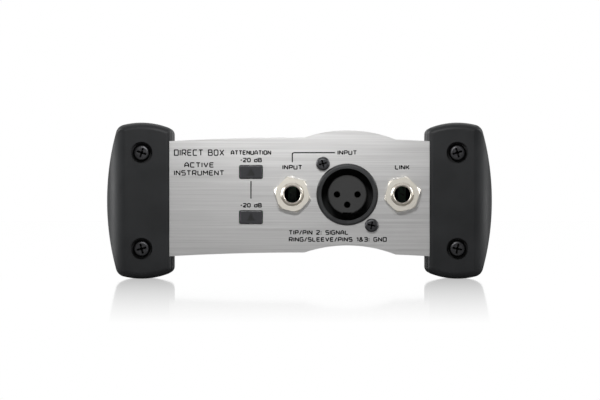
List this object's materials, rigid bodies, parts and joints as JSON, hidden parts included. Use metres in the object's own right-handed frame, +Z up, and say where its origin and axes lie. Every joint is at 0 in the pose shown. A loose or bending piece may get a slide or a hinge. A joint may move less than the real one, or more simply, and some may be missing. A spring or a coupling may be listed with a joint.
{
  "type": "direct injection box",
  "caption": "Silver aluminium direct injection box with a wavy extruded case, dark rubber corners, two phone jacks, microphone sockets and push switches.",
  "frame": {"origin": "middle of the bounding box footprint, on the surface that the rubber corners stand on", "axes": "+X to the right as the input panel is looked at, -Y out of the input panel, +Z up"},
  "size_m": [0.15, 0.13, 0.0608],
  "materials": {
    "battery_jacket": "printed steel jacket",
    "black_nylon": "glass filled nylon",
    "black_screw_steel": "black passivated steel",
    "black_zinc_casting": "black satin coated zinc casting",
    "bright_nickel": "polished nickel plate",
    "button_plastic": "moulded ABS, satin",
    "capacitor_sleeve": "printed shrink sleeve",
    "chip_epoxy": "moulded epoxy",
    "circuit_board": "solder mask over glass epoxy",
    "contact_bronze": "plated phosphor bronze",
    "core_steel": "varnished laminations",
    "corner_rubber": "satin moulded rubber",
    "housing_aluminium": "satin anodised extrusion",
    "lamp_red": "tinted epoxy",
    "lead_tin": "tinned wire",
    "lead_vinyl_black": "vinyl insulated wire",
    "lead_vinyl_red": "vinyl insulated wire",
    "nut_nickel": "warm nickel plate",
    "panel_aluminium": "horizontally brushed and anodised sheet",
    "resistor_lacquer": "lacquered ceramic",
    "snap_vinyl": "soft vinyl",
    "spring_steel": "drawn spring wire",
    "switch_plastic": "moulded nylon",
    "tray_plastic": "moulded ABS",
    "washer_steel": "zinc plated steel",
    "white_acetal": "natural acetal",
    "winding_copper": "enamelled copper"
  },
  "bodies": {
    "case": {"amplifier_chips": "chip_epoxy", "battery": "battery_jacket", "battery_lead_black": "lead_vinyl_black", "battery_lead_red": "lead_vinyl_red", "battery_snap": "snap_vinyl", "battery_tray": "tray_plastic", "capacitors": "capacitor_sleeve", "corner_front_left": "corner_rubber", "corner_front_right": "corner_rubber", "corner_rear_left": "corner_rubber", "corner_rear_right": "corner_rubber", "corner_screws": "black_screw_steel", "front_board": "circuit_board", "front_panel": "panel_aluminium", "ground_lift_spring": "spring_steel", "ground_lift_switch_body": "switch_plastic", "header_pins": "bright_nickel", "header_strips": "black_nylon", "housing": "housing_aluminium", "input_jack_body": "black_nylon", "input_jack_bushing": "bright_nickel", "input_jack_contacts": "contact_bronze", "jack_nuts": "nut_nickel", "jack_washers": "washer_steel", "lamp_leads": "lead_tin", "lamp_spacer": "black_nylon", "link_jack_body": "black_nylon", "link_jack_bushing": "bright_nickel", "link_jack_contacts": "contact_bronze", "lower_pad_spring": "spring_steel", "lower_pad_switch_body": "switch_plastic", "main_board": "circuit_board", "power_lamp": "lamp_red", "power_spring": "spring_steel", "power_switch_body": "switch_plastic", "rear_board": "circuit_board", "rear_panel": "panel_aluminium", "resistors": "resistor_lacquer", "transformer_bobbin": "white_acetal", "transformer_core": "core_steel", "transformer_strap": "washer_steel", "transformer_winding": "winding_copper", "upper_pad_spring": "spring_steel", "upper_pad_switch_body": "switch_plastic", "xlr_input_contacts": "contact_bronze", "xlr_input_insert": "black_nylon", "xlr_input_shell": "black_zinc_casting", "xlr_output_insert": "black_nylon", "xlr_output_pins": "bright_nickel", "xlr_output_shell": "black_zinc_casting", "xlr_screws": "black_screw_steel"},
    "upper_pad_slider": {"upper_pad_button": "button_plastic", "upper_pad_plunger": "white_acetal"},
    "lower_pad_slider": {"lower_pad_button": "button_plastic", "lower_pad_plunger": "white_acetal"},
    "ground_lift_slider": {"ground_lift_button": "button_plastic", "ground_lift_plunger": "white_acetal"},
    "power_slider": {"power_button": "button_plastic", "power_plunger": "white_acetal"}
  },
  "joints": [
    {"name": "upper_pad_push", "type": "slide", "parent": "case", "child": "upper_pad_slider", "axis": [0, 1, 0], "range_m": [0, 0.0025], "stiffness_N_per_m": 500, "springref_m": -0.002, "deforming": ["upper_pad_spring"]},
    {"name": "lower_pad_push", "type": "slide", "parent": "case", "child": "lower_pad_slider", "axis": [0, 1, 0], "range_m": [0, 0.0025], "stiffness_N_per_m": 500, "springref_m": -0.002, "deforming": ["lower_pad_spring"]},
    {"name": "ground_lift_push", "type": "slide", "parent": "case", "child": "ground_lift_slider", "axis": [0, -1, 0], "range_m": [0, 0.0025], "stiffness_N_per_m": 500, "springref_m": -0.002, "deforming": ["ground_lift_spring"]},
    {"name": "power_push", "type": "slide", "parent": "case", "child": "power_slider", "axis": [0, -1, 0], "range_m": [0, 0.0025], "stiffness_N_per_m": 500, "springref_m": -0.002, "deforming": ["power_spring"]}
  ]
}
